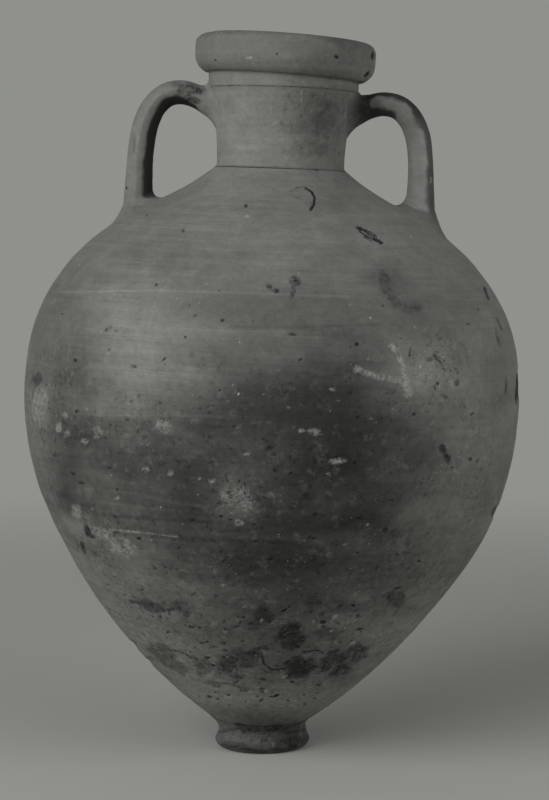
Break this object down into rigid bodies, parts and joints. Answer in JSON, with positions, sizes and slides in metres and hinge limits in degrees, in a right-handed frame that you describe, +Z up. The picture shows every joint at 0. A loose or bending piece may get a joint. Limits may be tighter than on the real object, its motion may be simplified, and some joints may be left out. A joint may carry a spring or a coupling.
{
  "type": "storage jar",
  "caption": "Tall two-handled storage jar of unglazed fired clay with a swelling body, a small foot, a flaring neck and a thick rolled rim.",
  "frame": {"origin": "centre of the foot's resting face", "axes": "+Z up, the handles along X with the body leaning a little towards +X, +Y away from the front"},
  "size_m": [0.494, 0.4939, 0.716],
  "materials": {
    "fired_clay": "matte, unglazed",
    "luting_clay": "matte, unglazed"
  },
  "bodies": {
    "root": {"foot": "fired_clay", "base_section": "fired_clay", "lower_section": "fired_clay", "belly_section": "fired_clay", "upper_section": "fired_clay", "shoulder_section": "fired_clay", "neck": "fired_clay", "rim": "fired_clay", "left_handle": "fired_clay", "right_handle": "fired_clay", "foot_luting": "luting_clay", "base_seam_luting": "luting_clay", "lower_seam_luting": "luting_clay", "belly_seam_luting": "luting_clay", "upper_seam_luting": "luting_clay", "neck_luting": "luting_clay", "rim_luting": "luting_clay", "left_handle_neck_luting": "luting_clay", "left_handle_shoulder_luting": "luting_clay", "right_handle_neck_luting": "luting_clay", "right_handle_shoulder_luting": "luting_clay"}
  },
  "joints": []
}
